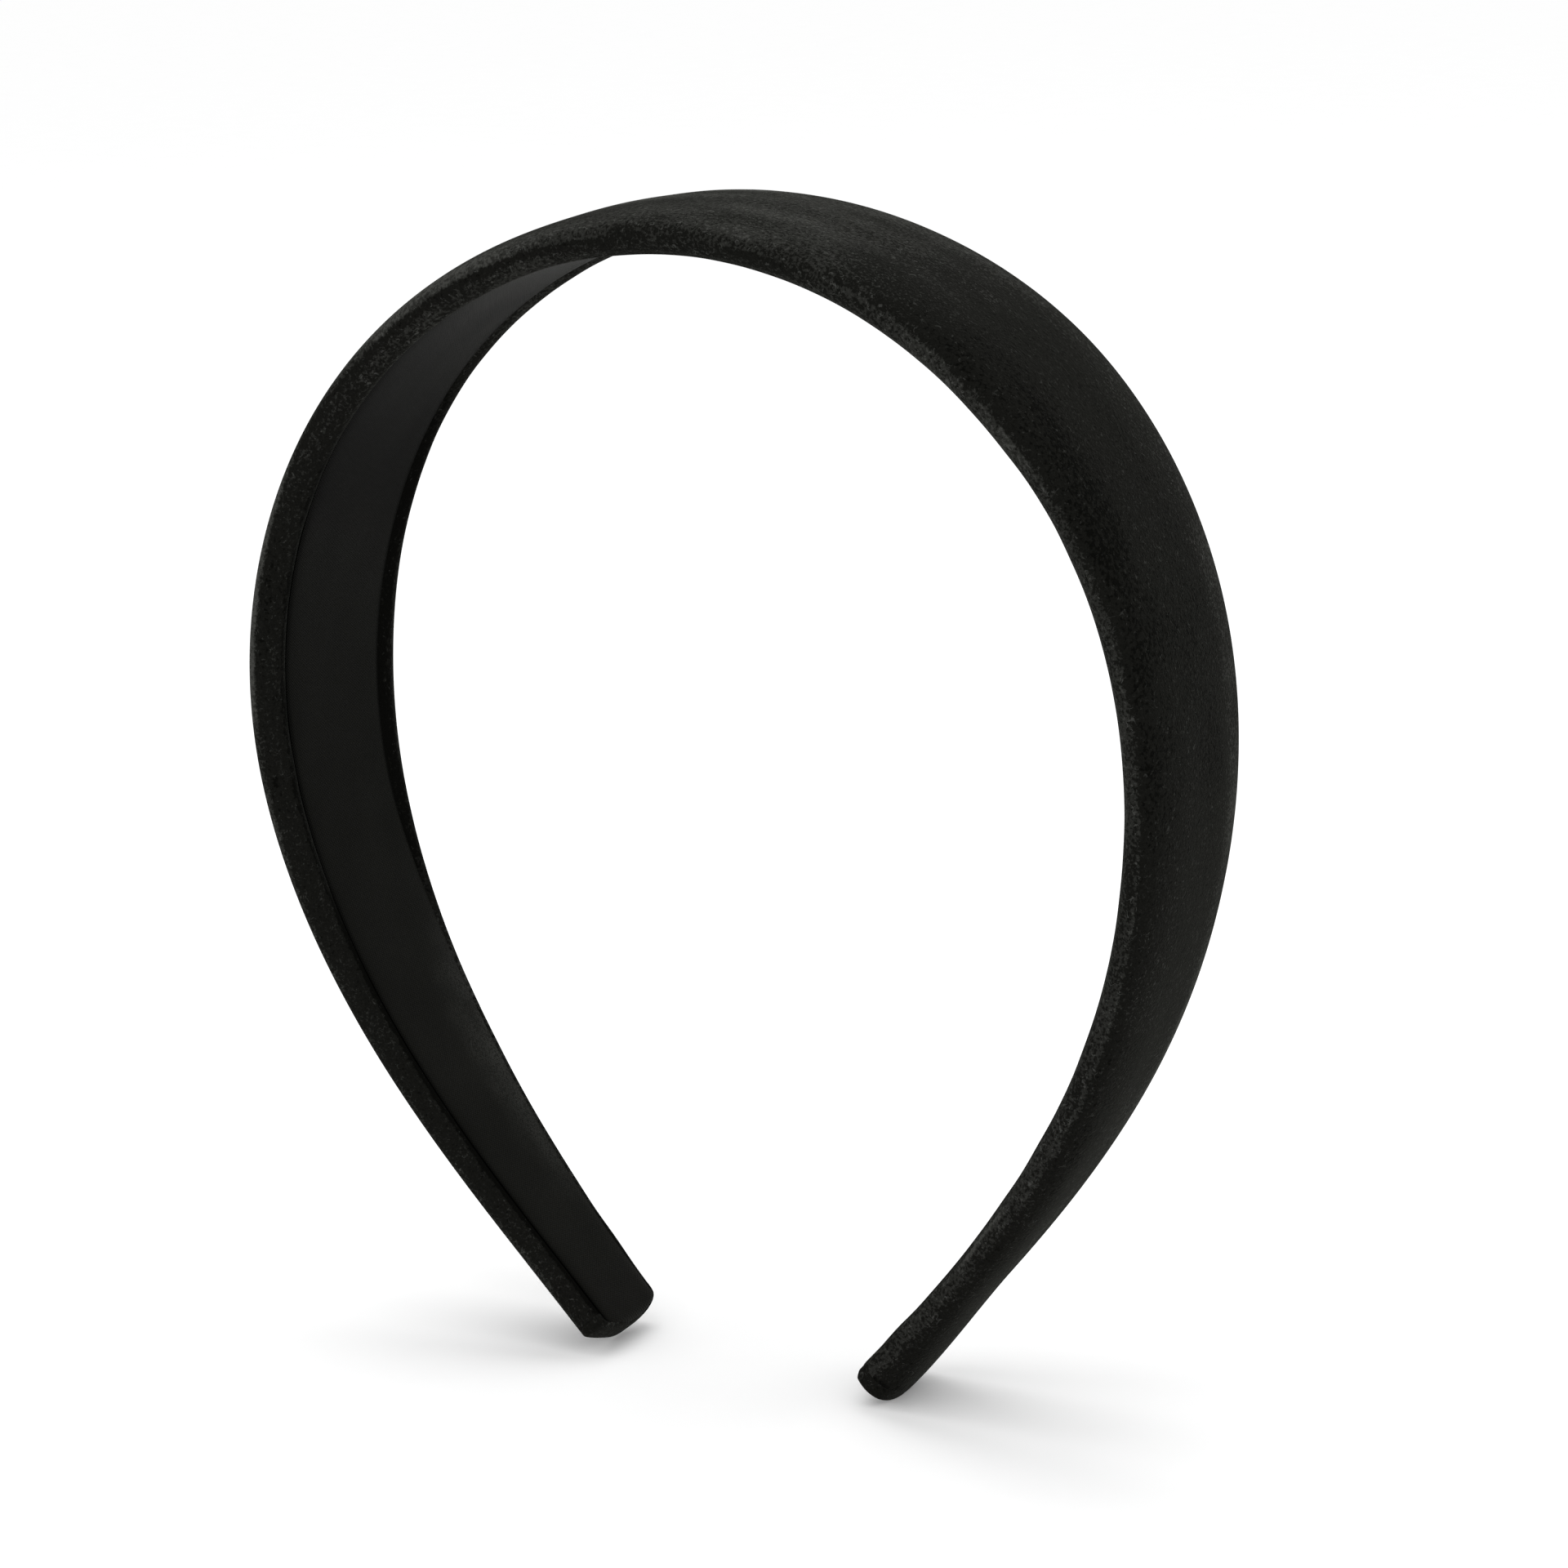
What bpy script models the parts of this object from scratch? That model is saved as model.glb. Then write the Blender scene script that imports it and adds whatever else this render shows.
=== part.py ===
"""Padded velvet headband (hair band) with a sprung plastic core.

The band is a stack of strips bent along one arch: a moulded core, a tape and a
foam pad on its outer side, a velvet cover drawn over the foam and turned in
round both edges, a bonding tape between the turned edges, a ribbon lining on
the head side, and a velvet tab folded round each tip.

The arch lies in the XZ plane with +Z up. Y runs across the band's width. The
origin is the middle of the lining's head side at the crown. Every strip is
parted at two flex lines on the shoulders, so that each arm can spread.
"""

import math

import bmesh
import bpy
from mathutils import Vector

MM = 0.001

# ---- arch (mm), measured along the core's head side from the crown ----
HALF_LENGTH = 203.3        # crown to the outside of the tip
CROWN_RADIUS = 63.45       # bend of the crown and the shoulders
TIP_RADIUS = 1880.0        # bend that is left at the tip, nearly straight
EASE_START = 0.304         # share of the half length that keeps the crown's bend
EASE_POWER = 1.39          # how the bend then eases towards the tip's

# ---- width of the band (mm) ----
CROWN_WIDTH = 33.1
TIP_WIDTH = 15.2
TAPER_POWER = 2.11         # where along the arm the taper falls
TIP_CORNER = 3.4           # corner radius of the tip, seen face on

# ---- thickness of each layer (mm) ----
GAP = 0.25                 # clearance between layers
CORE_THICK = 1.5
TAPE_THICK = 0.15
FOAM_THICK = 0.90
FOAM_EDGE = 0.25
VELVET_THICK = 0.6
LINING_THICK = 0.4
TAB_THICK = 0.6

# ---- levels (mm), outward from the core's head side ----
TAPE_BASE = CORE_THICK + GAP
FOAM_BASE = TAPE_BASE + TAPE_THICK + GAP
EDGE_LEVEL = 1.0                                  # level of the band's widest point
TURNED_FACE = -(GAP + VELVET_THICK)               # head side of the turned-in velvet
LINING_FACE = TURNED_FACE - GAP - LINING_THICK    # head side of the lining
DOME_POWER = 2.6                                  # roundness of the padded side

# ---- margins in from the band's edge (mm) ----
CORE_INSET = 1.8
TAPE_INSET = 2.7
TAB_INSET = 3.0
TONGUE = 1.9               # half width of the tab's end under the lining
TURN_IN = 7.0              # width of the turned-in velvet
LINING_SHARE = 0.73        # the lining's share of the band's width; the rest is velvet rim
ROLL = EDGE_LEVEL - TURNED_FACE

# ---- ends, back from the outside of the tip (mm) ----
CORE_END = 1.8
COVER_END = 1.2
FOAM_END = 8.0
TAPE_END = 9.0
LINING_END = 1.8

# ---- flex lines ----
FLEX_AT = 72.0             # along the arch from the crown to the flex line
FLEX_CLEAR = 0.15          # half gap at the pivot
FLEX_WEDGE = math.radians(3.2)   # half angle of the relief that lets an arm close

# ---- facets ----
CROWN_FACETS = 21          # odd, so one flat facet sits across the top
ARM_FACETS = 18
CORNER_ROWS = 4

COLLECTION = "headband"


# ------------------------------------------------------------------ the arch
def bend(u):
    """Curvature at share u of the half length, in 1/mm."""
    x = max(0.0, (u - EASE_START) / (1.0 - EASE_START))
    ease = x ** EASE_POWER
    return (1.0 - ease) / CROWN_RADIUS + ease / TIP_RADIUS


def arch_table(steps=4060):
    """Running position and turn along the arch, from the crown to the tip."""
    ds = HALF_LENGTH / steps
    x = z = turn = 0.0
    rows = [(0.0, 0.0, 0.0)]
    for i in range(steps):
        mid = turn + 0.5 * ds * bend((i + 0.5) / steps)
        x += ds * math.cos(mid)
        z -= ds * math.sin(mid)
        turn += ds * bend((i + 0.5) / steps)
        rows.append((x, z, turn))
    return rows


ARCH = arch_table()


def arch(s):
    """Position (x, z) and turn of the arch at the signed length s."""
    t = min(abs(s) / HALF_LENGTH, 1.0) * (len(ARCH) - 1)
    i = min(int(t), len(ARCH) - 2)
    f = t - i
    x, z, turn = (a + (b - a) * f for a, b in zip(ARCH[i], ARCH[i + 1]))
    side = -1.0 if s < 0 else 1.0
    over = abs(s) - HALF_LENGTH
    if over > 0:
        x += over * math.cos(turn)
        z -= over * math.sin(turn)
    return side * x, z, side * turn


def share(s):
    return min(abs(s) / HALF_LENGTH, 1.0)


def half_width(s):
    """Half the band's width at s, with the taper but not the tip's corners."""
    f = math.sin(0.5 * math.pi * share(s) ** TAPER_POWER) ** 2
    return 0.5 * (CROWN_WIDTH - (CROWN_WIDTH - TIP_WIDTH) * f)


def corner_cut(s, end, radius):
    """How much a corner of that radius, ending at length end, narrows each side."""
    c = min(max(1.0 - (end - abs(s)) / radius, 0.0), 1.0)
    return radius * (1.0 - math.sqrt(max(1.0 - c * c, 0.0)))


# height of the velvet's outer face above the band's widest point
RISE = FOAM_BASE + FOAM_THICK + GAP + VELVET_THICK - EDGE_LEVEL
PIVOT_LEVEL = EDGE_LEVEL + RISE + 0.2

# the flat facet of the lining across the crown sets the height of the origin
FIRST = FLEX_AT / CROWN_FACETS
LIFT = -(arch(FIRST)[1] + LINING_FACE * math.cos(arch(FIRST)[2]))


def place(s, v, n):
    """World point (mm) at length s, width v and level n."""
    x, z, turn = arch(s)
    return Vector((x + n * math.sin(turn), v, z + n * math.cos(turn) + LIFT))


# ------------------------------------------------------------- rows of facets
def relief(n):
    """How far an end face at level n stands back from the flex line."""
    return FLEX_CLEAR + math.tan(FLEX_WEDGE) * (PIVOT_LEVEL - n)


def crown_rows():
    return [FLEX_AT * (2.0 * i / CROWN_FACETS - 1.0) for i in range(CROWN_FACETS + 1)]


def arm_rows(end, corner=0.0):
    """Stations down an arm: even, then closing up round the tip's corners."""
    straight = end - corner
    rows = [FLEX_AT + (straight - FLEX_AT) * i / ARM_FACETS for i in range(ARM_FACETS + 1)]
    for i in range(1, CORNER_ROWS + 1 if corner else 1):
        rows.append(straight + corner * math.sin(0.5 * math.pi * i / CORNER_ROWS))
    return rows


# ---------------------------------------------------------------- the builders
def clear_scene():
    for obj in list(bpy.data.objects):
        bpy.data.objects.remove(obj, do_unlink=True)


def material(name, color, roughness, sheen=0.0):
    mat = bpy.data.materials.new(name)
    mat.use_nodes = True
    bsdf = mat.node_tree.nodes["Principled BSDF"]
    bsdf.inputs["Base Color"].default_value = (*color, 1.0)
    bsdf.inputs["Roughness"].default_value = roughness
    bsdf.inputs["Metallic"].default_value = 0.0
    bsdf.inputs["Sheen Weight"].default_value = sheen
    return mat


def strip(name, body, rows, columns, point, thick, outward, mat, weight=None):
    """A bent strip: a grid laid along the arch and given its thickness.

    point(s, t) gives the world point of row s and column t in mm.
    weight(s, t) thins the strip where it is below one.
    """
    bm = bmesh.new()
    nr, nc = len(rows) - 1, len(columns) - 1
    bmesh.ops.create_grid(bm, x_segments=nr, y_segments=nc, size=0.5)
    origin = body["pivot"]
    thin = {}
    bm.verts.ensure_lookup_table()
    for vert in bm.verts:
        i = round((vert.co.x + 0.5) * nr)
        j = round((vert.co.y + 0.5) * nc)
        vert.co = (point(rows[i], columns[j]) - origin) * MM
        if weight:
            thin[vert.index] = weight(rows[i], columns[j])
    mesh = bpy.data.meshes.new(name)
    bm.to_mesh(mesh)
    bm.free()
    obj = bpy.data.objects.new(name, mesh)
    body["collection"].objects.link(obj)
    obj.parent = body["empty"]
    mesh.materials.append(mat)
    solid = obj.modifiers.new("thickness", "SOLIDIFY")
    solid.thickness = thick * MM
    solid.offset = 1.0 if outward else -1.0
    solid.use_even_offset = True
    solid.use_quality_normals = True
    if weight:
        group = obj.vertex_groups.new(name="thickness")
        for index, value in thin.items():
            group.add([index], value, "REPLACE")
        solid.vertex_group = group.name
        solid.thickness_vertex_group = 0.0
    mesh.shade_smooth()
    mesh.set_sharp_from_angle(angle=math.radians(40))
    return obj


def spaced(count):
    """count + 1 values from -1 to 1."""
    return [2.0 * i / count - 1.0 for i in range(count + 1)]


def body_rows(side, end, corner=0.0):
    """Stations of one body, left to right along the arch."""
    if side == 0:
        return crown_rows()
    rows = arm_rows(end, corner)
    return rows if side > 0 else [-s for s in reversed(rows)]


def drawn_back(side, s, n):
    """Station s at level n, with the end faces on a flex line drawn back."""
    if abs(abs(s) - FLEX_AT) > 1e-6:
        return s
    toward = -1.0 if side == 0 else 1.0
    return math.copysign(abs(s) + toward * relief(n), s)


def flat_layer(name, body, end, corner, inset, base, thick, columns, mat, part=1.0):
    """A strip of even thickness whose head side is at the level base."""
    side = body["side"]
    stop = HALF_LENGTH - end

    def point(s, t):
        half = part * half_width(s) - inset
        if corner:
            half -= corner_cut(s, stop, corner)
        return place(drawn_back(side, s, base), t * half, base)

    return strip(name, body, body_rows(side, stop, corner), spaced(columns), point, thick, True, mat)


def foam_pad(name, body, mat):
    """The pad: flat on its tape, domed under the velvet, thin at its edges."""
    side = body["side"]
    stop = HALF_LENGTH - FOAM_END
    clear = VELVET_THICK + GAP

    def dome(s, v):
        w = min(abs(v) / (half_width(s) - clear), 1.0)
        return EDGE_LEVEL + (RISE - clear) * (1.0 - w ** DOME_POWER) ** (1.0 / DOME_POWER)

    def half(s):
        low = (FOAM_BASE + FOAM_EDGE - EDGE_LEVEL) / (RISE - clear)
        return (half_width(s) - clear) * (1.0 - low ** DOME_POWER) ** (1.0 / DOME_POWER)

    def point(s, t):
        return place(drawn_back(side, s, FOAM_BASE), t * half(s), FOAM_BASE)

    def weight(s, t):
        return max(FOAM_EDGE, dome(s, t * half(s)) - FOAM_BASE) / FOAM_THICK

    columns = [math.sin(0.5 * math.pi * t) for t in spaced(8)]
    return strip(name, body, body_rows(side, stop), columns, point, FOAM_THICK, True, mat, weight)


def cover_section(s):
    """The velvet's outer face across the band: (v, n) from turned edge to turned edge."""
    half = half_width(s) - corner_cut(s, HALF_LENGTH, TIP_CORNER)
    turn_in = min(TURN_IN, half - TONGUE - GAP)
    dome = []
    for i in range(13):
        a = math.pi * i / 12.0
        c, k = math.cos(a), math.sin(a)
        dome.append((
            -math.copysign(abs(c) ** (2.0 / DOME_POWER), c) * half,
            EDGE_LEVEL + RISE * abs(k) ** (2.0 / DOME_POWER),
        ))
    under = [(half - turn_in, TURNED_FACE)]
    for i in range(3):
        a = 0.5 * math.pi * i / 3.0
        under.append((half - ROLL + ROLL * math.sin(a), EDGE_LEVEL - ROLL * math.cos(a)))
    return [(-v, n) for v, n in under] + dome + list(reversed(under))


def velvet_cover(name, body, mat):
    """The velvet: over the pad, round both edges and turned in on the head side."""
    side = body["side"]
    stop = HALF_LENGTH - COVER_END
    columns = list(range(len(cover_section(0.0))))

    def point(s, t):
        v, n = cover_section(s)[t]
        return place(drawn_back(side, s, n), v, n)

    return strip(name, body, body_rows(side, stop, TIP_CORNER - COVER_END), columns, point, VELVET_THICK, False, mat)


def tip_tab(name, body, mat):
    """A velvet tab folded round the tip: over the core's end, its tongue in under the lining."""
    side = body["side"]
    outer, inner = CORE_THICK + GAP, -GAP
    centre, reach = 0.5 * (outer + inner), 0.5 * (outer - inner)
    nose = HALF_LENGTH - TAB_THICK
    depth = 2.0
    wide = half_width(nose) - TAB_INSET
    end = half_width(nose) - TIP_CORNER - 0.5
    path = [(nose - 7.0, outer, wide), (nose - 4.0, outer, wide)]
    for i in range(9):
        a = math.pi * i / 8.0
        if i <= 4:
            half = wide + (end - wide) * i / 4.0
        else:
            half = max(TONGUE, end + (TONGUE - end) * (i - 4) / 2.0)
        path.append((nose - depth + depth * math.sin(a), centre + reach * math.cos(a), half))
    path.append((nose - 4.4, inner, TONGUE))

    def point(i, t):
        s, n, half = path[i]
        return place(side * s, side * t * half, n)

    return strip(name, body, list(range(len(path))), spaced(4), point, TAB_THICK, True, mat)


def make_body(name, side, collection):
    """A group of strips that move together, hung from an empty on its pivot."""
    empty = bpy.data.objects.new(name + "_pivot", None)
    empty.empty_display_size = 0.01
    collection.objects.link(empty)
    pivot = Vector((0.0, 0.0, 0.0))
    if side:
        pivot = place(side * FLEX_AT, 0.0, PIVOT_LEVEL)
    empty.location = pivot * MM
    return {"name": name, "side": side, "pivot": pivot, "empty": empty, "collection": collection}


def build():
    clear_scene()
    collection = bpy.data.collections.new(COLLECTION)
    bpy.context.scene.collection.children.link(collection)

    plastic = (0.030, 0.030, 0.032)
    foam = (0.055, 0.055, 0.058)
    velvet = (0.012, 0.012, 0.011)
    ribbon = (0.016, 0.016, 0.015)
    tape = (0.62, 0.60, 0.54)

    for label, side in (("crown", 0), ("left", -1), ("right", 1)):
        body = make_body(label, side, collection)

        def paint(kind, color, roughness, sheen=0.0):
            return material(f"{kind}_{label}", color, roughness, sheen)

        flat_layer(f"core_{label}", body, CORE_END, TIP_CORNER - 1.0, CORE_INSET, 0.0,
                   CORE_THICK, 1, paint("core", plastic, 0.45))
        flat_layer(f"foam_tape_{label}", body, TAPE_END, 0.0, TAPE_INSET, TAPE_BASE,
                   TAPE_THICK, 1, paint("foam_tape", tape, 0.5))
        foam_pad(f"foam_pad_{label}", body, paint("foam_pad", foam, 0.95))
        velvet_cover(f"velvet_cover_{label}", body, paint("velvet_cover", velvet, 0.9, 0.6))
        flat_layer(f"lining_tape_{label}", body, TAPE_END, 0.0, TURN_IN + GAP, TURNED_FACE,
                   VELVET_THICK, 1, paint("lining_tape", tape, 0.5))
        flat_layer(f"lining_{label}", body, LINING_END, TIP_CORNER - 1.0, 0.0, LINING_FACE,
                   LINING_THICK, 1, paint("lining", ribbon, 0.55, 0.2), LINING_SHARE)
        if side:
            tip_tab(f"tip_tab_{label}", body, paint("tip_tab", velvet, 0.9, 0.6))


build()
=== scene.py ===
"""Looks of the padded velvet headband: cover, tip tabs, lining, pad, core and tapes.

Every strip follows the same arch as the solids it stands for. Each is made in a
left and a right half that meet on the crown's centre line; only the tip tabs are
attached to their arms.
"""

import math

import bpy
import numpy as np
from mathutils import Matrix, Vector


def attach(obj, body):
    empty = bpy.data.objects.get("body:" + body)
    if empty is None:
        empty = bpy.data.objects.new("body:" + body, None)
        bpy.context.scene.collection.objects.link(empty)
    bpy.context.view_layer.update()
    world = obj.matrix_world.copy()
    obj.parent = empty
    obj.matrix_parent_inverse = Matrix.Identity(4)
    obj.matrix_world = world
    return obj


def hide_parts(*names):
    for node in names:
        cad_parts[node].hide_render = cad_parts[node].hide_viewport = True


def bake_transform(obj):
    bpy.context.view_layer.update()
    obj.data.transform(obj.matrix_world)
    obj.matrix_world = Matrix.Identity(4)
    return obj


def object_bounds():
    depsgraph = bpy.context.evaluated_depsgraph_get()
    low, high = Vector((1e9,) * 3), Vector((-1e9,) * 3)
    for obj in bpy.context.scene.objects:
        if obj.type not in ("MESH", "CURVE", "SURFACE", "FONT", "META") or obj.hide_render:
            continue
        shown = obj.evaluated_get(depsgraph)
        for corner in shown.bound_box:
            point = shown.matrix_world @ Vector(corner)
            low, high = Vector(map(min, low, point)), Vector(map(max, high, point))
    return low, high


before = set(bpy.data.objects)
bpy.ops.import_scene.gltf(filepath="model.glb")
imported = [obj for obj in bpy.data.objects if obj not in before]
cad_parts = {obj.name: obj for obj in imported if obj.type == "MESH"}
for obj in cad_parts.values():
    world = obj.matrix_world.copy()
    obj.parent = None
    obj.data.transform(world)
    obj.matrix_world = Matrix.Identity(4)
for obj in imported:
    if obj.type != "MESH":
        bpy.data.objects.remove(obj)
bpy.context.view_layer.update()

MM = 0.001

# ---- arch (mm), the same as the solids' ----
HALF_LENGTH = 203.3
CROWN_RADIUS = 63.45
TIP_RADIUS = 1880.0
EASE_START = 0.304
EASE_POWER = 1.39
CROWN_WIDTH = 33.1
TIP_WIDTH = 15.2
TAPER_POWER = 2.11
TIP_CORNER = 3.4

GAP = 0.25
CORE_THICK = 1.5
TAPE_THICK = 0.15
FOAM_THICK = 0.90
FOAM_EDGE = 0.25
VELVET_THICK = 0.6
LINING_THICK = 0.4
TAPE_BASE = CORE_THICK + GAP
FOAM_BASE = TAPE_BASE + TAPE_THICK + GAP
EDGE_LEVEL = 1.0
TURNED_FACE = -(GAP + VELVET_THICK)
LINING_FACE = TURNED_FACE - GAP - LINING_THICK
DOME_POWER = 2.6
CORE_INSET = 1.8
TAPE_INSET = 2.7
LINING_SHARE = 0.73
TURN_IN = 7.0
FLEX_AT = 72.0
CROWN_FACETS = 21

COVER_STOP = HALF_LENGTH - 3.7     # the cover's end, on the tab
TAB_START = HALF_LENGTH - 7.0      # the tab's end, under the cover
LINING_SHORT = 0.35                # the lining's end before the tip's, turned up a little over it
NOSE_OUT = 0.6                     # how far back the tip rounds off on its outer side
NOSE_IN = 2.0                      # and on its head side
# the tip's end: how far its corners reach along the arm and across it, and how full
# they are; the two tips are folded a little unlike
TIP_END = {-1: HALF_LENGTH, 1: HALF_LENGTH - 0.5}
FRONT_END = {-1: (2.6, 8.0, 1.3), 1: (1.2, 4.0, 2.0)}
BACK_END = {-1: (3.2, 5.5, 2.6), 1: (1.4, 5.0, 2.0)}
TIP_SWELL = {-1: 0.0, 1: 1.1}      # the folded tab under the cover makes the tip a little thicker


# ------------------------------------------------------------------ the arch
def arch_table(steps=8120):
    ds = HALF_LENGTH / steps
    u = (np.arange(steps) + 0.5) / steps
    x = np.clip((u - EASE_START) / (1.0 - EASE_START), 0.0, 1.0)
    ease = x ** EASE_POWER
    bend = (1.0 - ease) / CROWN_RADIUS + ease / TIP_RADIUS
    turn = np.concatenate([[0.0], np.cumsum(bend * ds)])
    mid = turn[:-1] + 0.5 * ds * bend
    px = np.concatenate([[0.0], np.cumsum(ds * np.cos(mid))])
    pz = np.concatenate([[0.0], -np.cumsum(ds * np.sin(mid))])
    return np.linspace(0.0, HALF_LENGTH, steps + 1), px, pz, turn


ARCH_S, ARCH_X, ARCH_Z, ARCH_TURN = arch_table()
FIRST = FLEX_AT / CROWN_FACETS
LIFT = -(np.interp(FIRST, ARCH_S, ARCH_Z) + LINING_FACE * math.cos(np.interp(FIRST, ARCH_S, ARCH_TURN)))


ARM_SPRUNG = {-1: 0.0, 1: 0.45}


def place(side, s, v, n):
    """Row-frame points (m) for arrays of length s >= 0, width v and level n (mm)."""
    s = np.asarray(s, float)
    x = np.interp(s, ARCH_S, ARCH_X)
    z = np.interp(s, ARCH_S, ARCH_Z)
    turn = np.interp(s, ARCH_S, ARCH_TURN)
    # one arm is sprung in a little at its middle
    n = n - ARM_SPRUNG[int(side)] * np.exp(-((s - 104.0) / 28.0) ** 2)
    p = np.stack(np.broadcast_arrays(
        side * (x + n * np.sin(turn)), v, z + n * np.cos(turn) + LIFT), -1)
    return p * MM


def share(s):
    return np.clip(np.asarray(s, float) / HALF_LENGTH, 0.0, 1.0)


def half_width(s):
    f = np.sin(0.5 * np.pi * share(s) ** TAPER_POWER) ** 2
    return 0.5 * (CROWN_WIDTH - (CROWN_WIDTH - TIP_WIDTH) * f)


def corner_cut(s, end, radius):
    c = np.clip(1.0 - (end - np.asarray(s, float)) / radius, 0.0, 1.0)
    return radius * (1.0 - np.sqrt(np.clip(1.0 - c * c, 0.0, 1.0)))


def end_cut(s, end, along, across, full):
    c = np.clip(1.0 - (end - np.asarray(s, float)) / along, 0.0, 1.0)
    return across * (1.0 - np.clip(1.0 - c ** full, 0.0, 1.0) ** (1.0 / full))


def bell(s, at, spread):
    return np.exp(-((np.asarray(s, float) - at) / spread) ** 2)


def fuller(side, s):
    """Where the velvet sits fuller over the band: extra at the front edge, the back edge and the top."""
    if side > 0:
        return (0.9 * bell(s, 48.0, 21.0), 0.75 * bell(s, 48.0, 22.0) + 0.7 * bell(s, 150.0, 22.0),
                0.45 * bell(s, 46.0, 18.0) - 0.15 * bell(s, 98.0, 18.0) + 0.3 * bell(s, 150.0, 20.0))
    return 0.4 * bell(s, 104.0, 24.0), 1.1 * bell(s, 92.0, 30.0), 0.45 * bell(s, 106.0, 24.0)


def edges(side, s):
    """Half widths to the front and to the back edge, rounded off at the tip."""
    end = TIP_END[side]
    more = fuller(side, s)
    return (half_width(s) + more[0] - end_cut(s, end, *FRONT_END[side]),
            half_width(s) + more[1] - end_cut(s, end, *BACK_END[side]))


def rise(side, s):
    """How far the outer face stands above the edges."""
    return RISE + TIP_SWELL[side] * soft(s, HALF_LENGTH - 24.0, HALF_LENGTH - 2.0) + fuller(side, s)[2]


RISE = FOAM_BASE + FOAM_THICK + GAP + VELVET_THICK - EDGE_LEVEL


# -------------------------------------------------------------- smooth noise
def hash2(ix, iy, seed):
    h = (ix * 374761393 + iy * 668265263 + seed * 2246822519) & 0xFFFFFFFF
    h = ((h ^ (h >> 13)) * 1274126177) & 0xFFFFFFFF
    return ((h ^ (h >> 16)) & 0xFFFF) / 65535.0 * 2.0 - 1.0


def wander(x, y, seed):
    """Smooth value noise from -1 to 1 over a plane."""
    x, y = np.broadcast_arrays(np.asarray(x, float), np.asarray(y, float))
    ix, iy = np.floor(x).astype(np.int64), np.floor(y).astype(np.int64)
    fx, fy = x - ix, y - iy
    fx, fy = fx * fx * (3 - 2 * fx), fy * fy * (3 - 2 * fy)
    a = hash2(ix, iy, seed) * (1 - fx) + hash2(ix + 1, iy, seed) * fx
    b = hash2(ix, iy + 1, seed) * (1 - fx) + hash2(ix + 1, iy + 1, seed) * fx
    return a * (1 - fy) + b * fy


def soft(x, low, high):
    t = np.clip((np.asarray(x, float) - low) / (high - low), 0.0, 1.0)
    return t * t * (3 - 2 * t)


# ------------------------------------------------------------- mesh builders
def new_object(name, verts, faces, mat, smooth_angle=50):
    mesh = bpy.data.meshes.new(name)
    mesh.from_pydata([tuple(v) for v in verts], [], faces)
    mesh.validate()
    mesh.materials.append(mat)
    mesh.shade_smooth()
    mesh.set_sharp_from_angle(angle=math.radians(smooth_angle))
    obj = bpy.data.objects.new(name, mesh)
    bpy.context.scene.collection.objects.link(obj)
    return obj


def outward(points, side, wrap=False):
    """Unit normals of a grid whose rows run down the arm and columns across it."""
    du = np.gradient(points, axis=0)
    if wrap:
        dv = np.roll(points, -1, axis=1) - np.roll(points, 1, axis=1)
    else:
        dv = np.gradient(points, axis=1)
    n = np.cross(du, dv) * side
    return n / np.maximum(np.linalg.norm(n, axis=-1, keepdims=True), 1e-12)


def paint_tone_and_light(obj, values):
    """Store a per-point tone from -1 to 1 that lightens or darkens the colour: mostly painted highlight and painted
    shade, with random tone.
    """
    layer = obj.data.attributes.new("tone_and_painted_light", "FLOAT", "POINT")
    layer.data.foreach_set("value", np.asarray(values, np.float32).reshape(-1))


def shell(name, outer, thick, side, mat):
    """A cloth of even thickness: an open grid, its inner face and its four edges."""
    rows, cols, _ = outer.shape
    inner = outer - outward(outer, side) * thick * MM
    verts = np.concatenate([outer.reshape(-1, 3), inner.reshape(-1, 3)])
    off = rows * cols

    def q(a, b, c, d):
        return (a, b, c, d) if side > 0 else (d, c, b, a)

    faces = []
    for r in range(rows - 1):
        for c in range(cols - 1):
            i = r * cols + c
            faces.append(q(i, i + cols, i + cols + 1, i + 1))
            faces.append(q(off + i, off + i + 1, off + i + cols + 1, off + i + cols))
    for r in range(rows - 1):
        i, j = r * cols, r * cols + cols - 1
        faces.append(q(i, off + i, off + i + cols, i + cols))
        faces.append(q(j, j + cols, off + j + cols, off + j))
    for c in range(cols - 1):
        i, j = c, (rows - 1) * cols + c
        faces.append(q(i, i + 1, off + i + 1, off + i))
        faces.append(q(j, off + j, off + j + 1, j + 1))
    return new_object(name, verts, faces, mat)


def sweep(name, loops, side, mat, smooth_angle=50):
    """A solid strip: closed loops down the arm with a flat face at each end."""
    rows, cols, _ = loops.shape
    verts = loops.reshape(-1, 3)

    def q(*f):
        return f if side > 0 else tuple(reversed(f))

    faces = []
    for r in range(rows - 1):
        for c in range(cols):
            d = (c + 1) % cols
            faces.append(q(r * cols + c, (r + 1) * cols + c, (r + 1) * cols + d, r * cols + d))
    faces.append(q(*range(cols)))
    faces.append(q(*[(rows - 1) * cols + c for c in reversed(range(cols))]))
    return new_object(name, verts, faces, mat, smooth_angle)


# ------------------------------------------------------------------ materials
def nodes_of(name):
    mat = bpy.data.materials.new(name)
    mat.use_nodes = True
    return mat, mat.node_tree.nodes, mat.node_tree.links, mat.node_tree.nodes["Principled BSDF"]


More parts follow.
